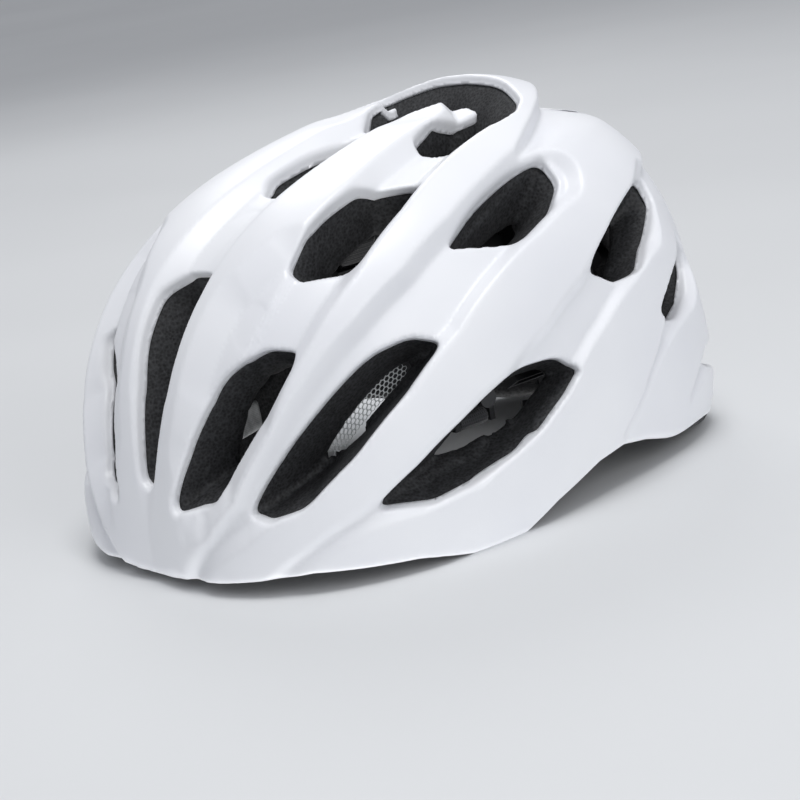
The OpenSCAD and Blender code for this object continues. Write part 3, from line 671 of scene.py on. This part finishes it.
def liner_pads():
    """Sweat pads stuck into the liner."""
    cushion("front_cushion", lambda u, v, w: head_point(46 * u, 98 + 6 * v, PAD_GAP + PAD_T * w),
            (61, 11), "front_pad", "helmet", PAD)
    for side, name in ((1, "left"), (-1, "right")):
        def crown(u, v, w):
            return head_chart(side * (11.5 + 5.5 * v), -6 + 36 * u, PAD_GAP + PAD_T * w)

        def rear(u, v, w):
            return head_point(side * (142 + 14 * u), 68 + 8 * v, PAD_GAP + PAD_T * w)

        def temple(u, v, w):
            return head_point(side * (58 + 7 * u), 99.5 + 4.5 * v, PAD_GAP + TEMPLE_T * w)

        cushion(f"crown_cushion_{name}", crown, (45, 11), f"crown_pad_{name}", "helmet", PAD)
        cushion(f"rear_cushion_{name}", rear, (25, 15), f"rear_pad_{name}", "helmet", PAD)
        cushion(f"temple_cushion_{name}", temple, (21, 15), f"temple_pad_{name}", "helmet", PALE_PAD)


def hex_net(name, side, node):
    """Honeycomb strip moulded in one piece, bridging a side vent inside the liner."""
    size, bar = 1.25, 0.24
    points, faces = [], []
    for i in range(-2, 24):
        for j in range(-3, 4):
            cu = (i + 0.5 * (j % 2)) * size * math.sqrt(3)
            cv = j * size * 1.5
            corner = [(math.cos(math.radians(60 * k + 30)), math.sin(math.radians(60 * k + 30))) for k in range(6)]
            if not (0 < cu < 39 and abs(cv) < 4.5):
                continue
            base = len(points)
            for depth in (0.8, 1.5):
                for scale in (size, size - bar):
                    for cx, cy in corner:
                        s, t = (cu + cx * scale) / 39, (cv + cy * scale) / 2.2
                        points.append(head_chart(np.array(side * (44.0 + 9 * s + t * 0.9)),
                                                 np.array(-78.0 + 26 * s - t * 0.35), depth))
            for k in range(6):
                l = (k + 1) % 6
                o, i2, o2, i3 = base, base + 6, base + 12, base + 18
                faces += [[o + k, o + l, i2 + l, i2 + k], [o2 + l, o2 + k, i3 + k, i3 + l],
                          [i2 + k, i2 + l, i3 + l, i3 + k], [o + l, o + k, o2 + k, o2 + l]]
    if side < 0:
        faces = [f[::-1] for f in faces]
    piece = add_mesh(name, points, faces, "helmet", NET, flat=True)
    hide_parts(node)


def patch():
    """Thin plain patch on the rear deck, rounded at its corners."""
    n = 41
    u, v = np.meshgrid(np.linspace(-1, 1, n), np.linspace(-1, 1, n), indexing="ij")
    u, v = u * np.sqrt(1 - 0.12 * v ** 6), v * np.sqrt(1 - 0.12 * u ** 6)
    d = chart_dir(15 * u, 40 + 4 * v)
    r = chart.look(chart.radius, np.abs(15 * u), 40 + 4 * v)
    lift = 0.85 * np.minimum(1, (1 - np.maximum(np.abs(u), np.abs(v)) ** 12) * 4)
    top = CENTRE + d * (r + lift - 0.1)[..., None]
    index = np.arange(n * n).reshape(n, n)
    faces = [[int(index[i, j]), int(index[i + 1, j]), int(index[i + 1, j + 1]), int(index[i, j + 1])]
             for i in range(n - 1) for j in range(n - 1)]
    piece = add_mesh("patch", top.reshape(-1, 3), faces, "helmet", PATCH)
    skin = piece.modifiers.new("thickness", "SOLIDIFY")
    skin.thickness = 0.4 * MM
    skin.offset = -1
    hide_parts("rear_patch")


liner_pads()
hex_net("net_left", 1, "bug_net_left")
hex_net("net_right", -1, "bug_net_right")
patch()

# ---------------------------------------------------------------- straps


WEB_W, WEB_T = 14.4, 1.3
WEB_STEP = 1.2          # spacing of the cross-sections
# Cross-section in shares of half the width and half the thickness, rounded at both edges
WEB_PROFILE = ((-1, 0), (-0.96, 0.7), (-0.8, 1), (-0.4, 0.9), (0, 1), (0.4, 0.9), (0.8, 1), (0.96, 0.7),
               (1, 0), (0.96, -0.7), (0.8, -1), (0.4, -0.9), (0, -1), (-0.4, -0.9), (-0.8, -1), (-0.96, -0.7))


def ribbon(path):
    """Strap along path, rows of (x, y, z) in the strap frame; the width lies along y."""
    path = np.array(path, float)
    step = np.r_[0, np.cumsum(np.linalg.norm(np.diff(path, axis=0), axis=1))]
    count = max(int(step[-1] / WEB_STEP), 4)
    at = np.linspace(0, step[-1], count)
    line = np.stack([np.interp(at, step, path[:, k]) for k in range(3)], -1)
    flow = np.gradient(line, axis=0)
    flow[:, 1] = 0
    flow /= np.maximum(np.linalg.norm(flow, axis=1, keepdims=True), 1e-9)
    out = np.stack([flow[:, 2], np.zeros(count), -flow[:, 0]], -1)
    points, faces, m = [], [], len(WEB_PROFILE)
    for k in range(count):
        for a, b in WEB_PROFILE:
            points.append(line[k] + out[k] * (b * WEB_T / 2) + np.array([0, a * WEB_W / 2, 0]))
    for k in range(count - 1):
        for j in range(m):
            a, b = k * m + j, k * m + (j + 1) % m
            faces.append([a, b, b + m, a + m])
    faces.append(list(range(m))[::-1])
    faces.append([(count - 1) * m + j for j in range(m)])
    return points, faces


def stitches(line, pitch=1.6):
    """Short raised thread marks along a line of strap-frame points."""
    points, faces = [], []
    for a, b in line:
        a, b = np.array(a, float), np.array(b, float)
        count = max(int(np.linalg.norm(b - a) / pitch), 1)
        flow = (b - a) / np.linalg.norm(b - a)
        cross = np.cross(flow, [1, 0, 0])
        for k in range(count):
            c = a + (b - a) * (k + 0.5) / count
            base = len(points)
            for e in (-0.36, 0.36):
                for w, h in ((-0.22, 0), (0, 0.28), (0.22, 0), (0, -0.1)):
                    points.append(c + flow * e * pitch + cross * w + np.array([h * np.sign(c[0] or 1), 0, 0]))
            faces += [[base + j, base + (j + 1) % 4, base + 4 + (j + 1) % 4, base + 4 + j] for j in range(4)]
            faces += [[base + 3, base + 2, base + 1, base], [base + 4, base + 5, base + 6, base + 7]]
    return points, faces


def join(*parts):
    points, faces = [], []
    for p, f in parts:
        faces += [[i + len(points) for i in face] for face in f]
        points += list(p)
    return points, faces


LEG = 66                # strap bar to divider
FOLD = (-2.6, 76)       # bar that the chin strap folds round
CHIN_X = FOLD[0] - 3 + 0.7
LEG_LOOP, CHIN_LOOP = 2.6, 2.35     # radii of the webbing round its bars


def leg(y0, y1):
    """One strap leg: up to the bar and round it."""
    bar = [(LEG_LOOP * math.cos(math.radians(t)), y0, LEG_LOOP * math.sin(math.radians(t)))
           for t in range(78, -262, -12)]
    return ribbon([(0, y1, LEG), (0, y1, LEG - 12), (0, y0, 9), (0, y0, 4.5)] + bar)


def chin(end):
    """Chin strap, round the fold bar and down to its buckle half."""
    bar = [(FOLD[0] + CHIN_LOOP * math.cos(math.radians(t)), 0, FOLD[1] + CHIN_LOOP * math.sin(math.radians(t)))
           for t in range(0, 181, 12)]
    return ribbon(bar + [(CHIN_X, 0, FOLD[1] - 3), (CHIN_X, 0, end)])


def straps():
    for side, name, end in ((1, "left", 30), (-1, "right", 8)):
        marks = stitches([((0.75, y - 5.5, 11 + 8 * k), (0.75, y + 5.5, 11 + 8 * k))
                          for y in (-43.5, 36.7) for k in (0, 1)])
        points, faces = join(leg(-45, -8), leg(38, 8), marks)
        piece = add_mesh(f"webbing_{name}", strap_point(np.array(points), side),
                         [f[::-1] for f in faces] if side < 0 else faces, f"strap_{name}", WEBBING)
        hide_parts(f"strap_{name}")
        marks = stitches([((CHIN_X - 0.75, y, 62), (CHIN_X - 0.75, y, 73)) for y in (-5, 5)])
        points, faces = join(chin(end), marks)
        piece = add_mesh(f"chin_webbing_{name}", strap_point(np.array(points), side),
                         [f[::-1] for f in faces] if side < 0 else faces, f"chin_{name}", WEBBING)
        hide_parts(f"chin_strap_{name}")


straps()


def chin_cushion(u, v, w):
    return strap_point(np.stack([CHIN_X - 1.1 - 2.6 * w, 9 * u, 63.5 + 6.5 * v], -1), -1)


cushion("chin_cushion", chin_cushion, (21, 17), "chin_pad", "chin_right", PAD)

# ---------------------------------------------------------------- adjuster cushions


def cradle_cushion(middle):
    """Cushion on the inner face of the adjuster, round an angle from its middle."""
    def place(u, v, w):
        a = np.radians(middle + 5.5 * u)
        r = ARM_R - 5 - 3.4 * w
        return cradle_point(np.stack([r * np.sin(a), r * np.cos(a), 9.2 * v], -1))
    return place


for name, middle in (("left", 10.5), ("right", -10.5)):
    cushion(f"cradle_cushion_{name}", cradle_cushion(middle), (21, 21), "cradle_pads", "cradle", PAD)

# ---------------------------------------------------------------- hard parts straight from the CAD

HARD = {
    "temple_clips": NYLON, "strap_anchors": NYLON, "height_socket": NYLON, "cradle_housing": NYLON,
    "cradle_cover": RUBBER, "arm_guides": NYLON, "height_strip": NYLON, "arm_left": NYLON,
    "arm_right": NYLON, "dial": RUBBER, "pinion": NYLON, "dial_screw": STEEL, "divider_left": NYLON,
    "divider_right": NYLON, "cam_lever_left": NYLON, "cam_lever_right": NYLON, "buckle_female": NYLON,
    "buckle_male": NYLON, "strap_keeper": RUBBER}

for name, material in HARD.items():
    node = NODES[name]
    node.data.materials.clear()
    node.data.materials.append(material)
    edges = node.modifiers.new("edges", "BEVEL")
    edges.width = 0.25 * MM
    edges.segments = 2
    edges.limit_method = "ANGLE"
    edges.angle_limit = math.radians(40)

# ---------------------------------------------------------------- floor, light and camera


def area_light(name, place, size, power, aim=(0, 0, 0.06)):
    light = bpy.data.lights.new(name, "AREA")
    light.shape = "DISK"
    light.size = size
    light.energy = power
    lamp = bpy.data.objects.new(name, light)
    bpy.context.scene.collection.objects.link(lamp)
    lamp.location = place
    lamp.rotation_euler = (Vector(aim) - Vector(place)).to_track_quat("-Z", "Y").to_euler()


def stage():
    ground = bpy.data.meshes.new("floor")
    far = 6.0
    ground.from_pydata([(-far, -far, 0), (far, -far, 0), (far, far, 0), (-far, far, 0)], [], [(0, 1, 2, 3)])
    floor = bpy.data.objects.new("floor", ground)
    bpy.context.scene.collection.objects.link(floor)
    n = Nodes("floor_pale")
    n.colour(n.ramp(n.noise(400, 2), (0.60, 0.61, 0.62), (0.63, 0.64, 0.65)))
    n.shader.inputs["Roughness"].default_value = 0.8
    # Seen from below, the floor lets the underside of the helmet show
    back = n.add("ShaderNodeNewGeometry").outputs["Backfacing"]
    n.link(n.math("SUBTRACT", 1, back), n.shader.inputs["Alpha"])
    floor.data.materials.append(n.material)
    floor.visible_shadow = False
    world = bpy.data.worlds.new("studio")
    world.use_nodes = True
    world.node_tree.nodes["Background"].inputs["Color"].default_value = (0.93, 0.95, 1, 1)
    world.node_tree.nodes["Background"].inputs["Strength"].default_value = 0.5
    bpy.context.scene.world = world
    area_light("key", (0.35, -0.1, 1.7), 0.8, 15)
    area_light("fill", (1.6, -0.1, 0.8), 1.2, 8)
    area_light("rim", (-1.2, 0.7, 1.2), 0.9, 6, (0, 0, 0.08))
    area_light("under", (0.15, -0.2, -0.9), 0.8, 7)


def camera():
    """The photographed view: front left, a little above, rolled slightly."""
    azimuth, elevation, roll = (math.radians(a) for a in (51.706, 16.055, -8.977))
    back = Vector((math.sin(azimuth) * math.cos(elevation), -math.cos(azimuth) * math.cos(elevation),
                   math.sin(elevation)))
    right = Vector((math.cos(azimuth), math.sin(azimuth), 0))
    up = back.cross(right)
    across = right * math.cos(roll) + up * math.sin(roll)
    upward = up * math.cos(roll) - right * math.sin(roll)
    origin = Vector(OFFSET * MM)
    eye = origin + back * 1.0
    aim = origin + (across * -20.8 + upward * 30.05) * MM
    z = (eye - aim).normalized()
    x = upward.cross(z).normalized()
    y = z.cross(x)
    lens = bpy.data.cameras.new("camera")
    lens.lens = 103.5
    lens.clip_start, lens.clip_end = 0.05, 20
    cam = bpy.data.objects.new("camera", lens)
    bpy.context.scene.collection.objects.link(cam)
    cam.matrix_world = Matrix(((x.x, y.x, z.x, eye.x), (x.y, y.y, z.y, eye.y), (x.z, y.z, z.z, eye.z), (0, 0, 0, 1)))
    bpy.context.scene.camera = cam


stage()
camera()
bpy.context.scene.view_settings.view_transform = "Standard"
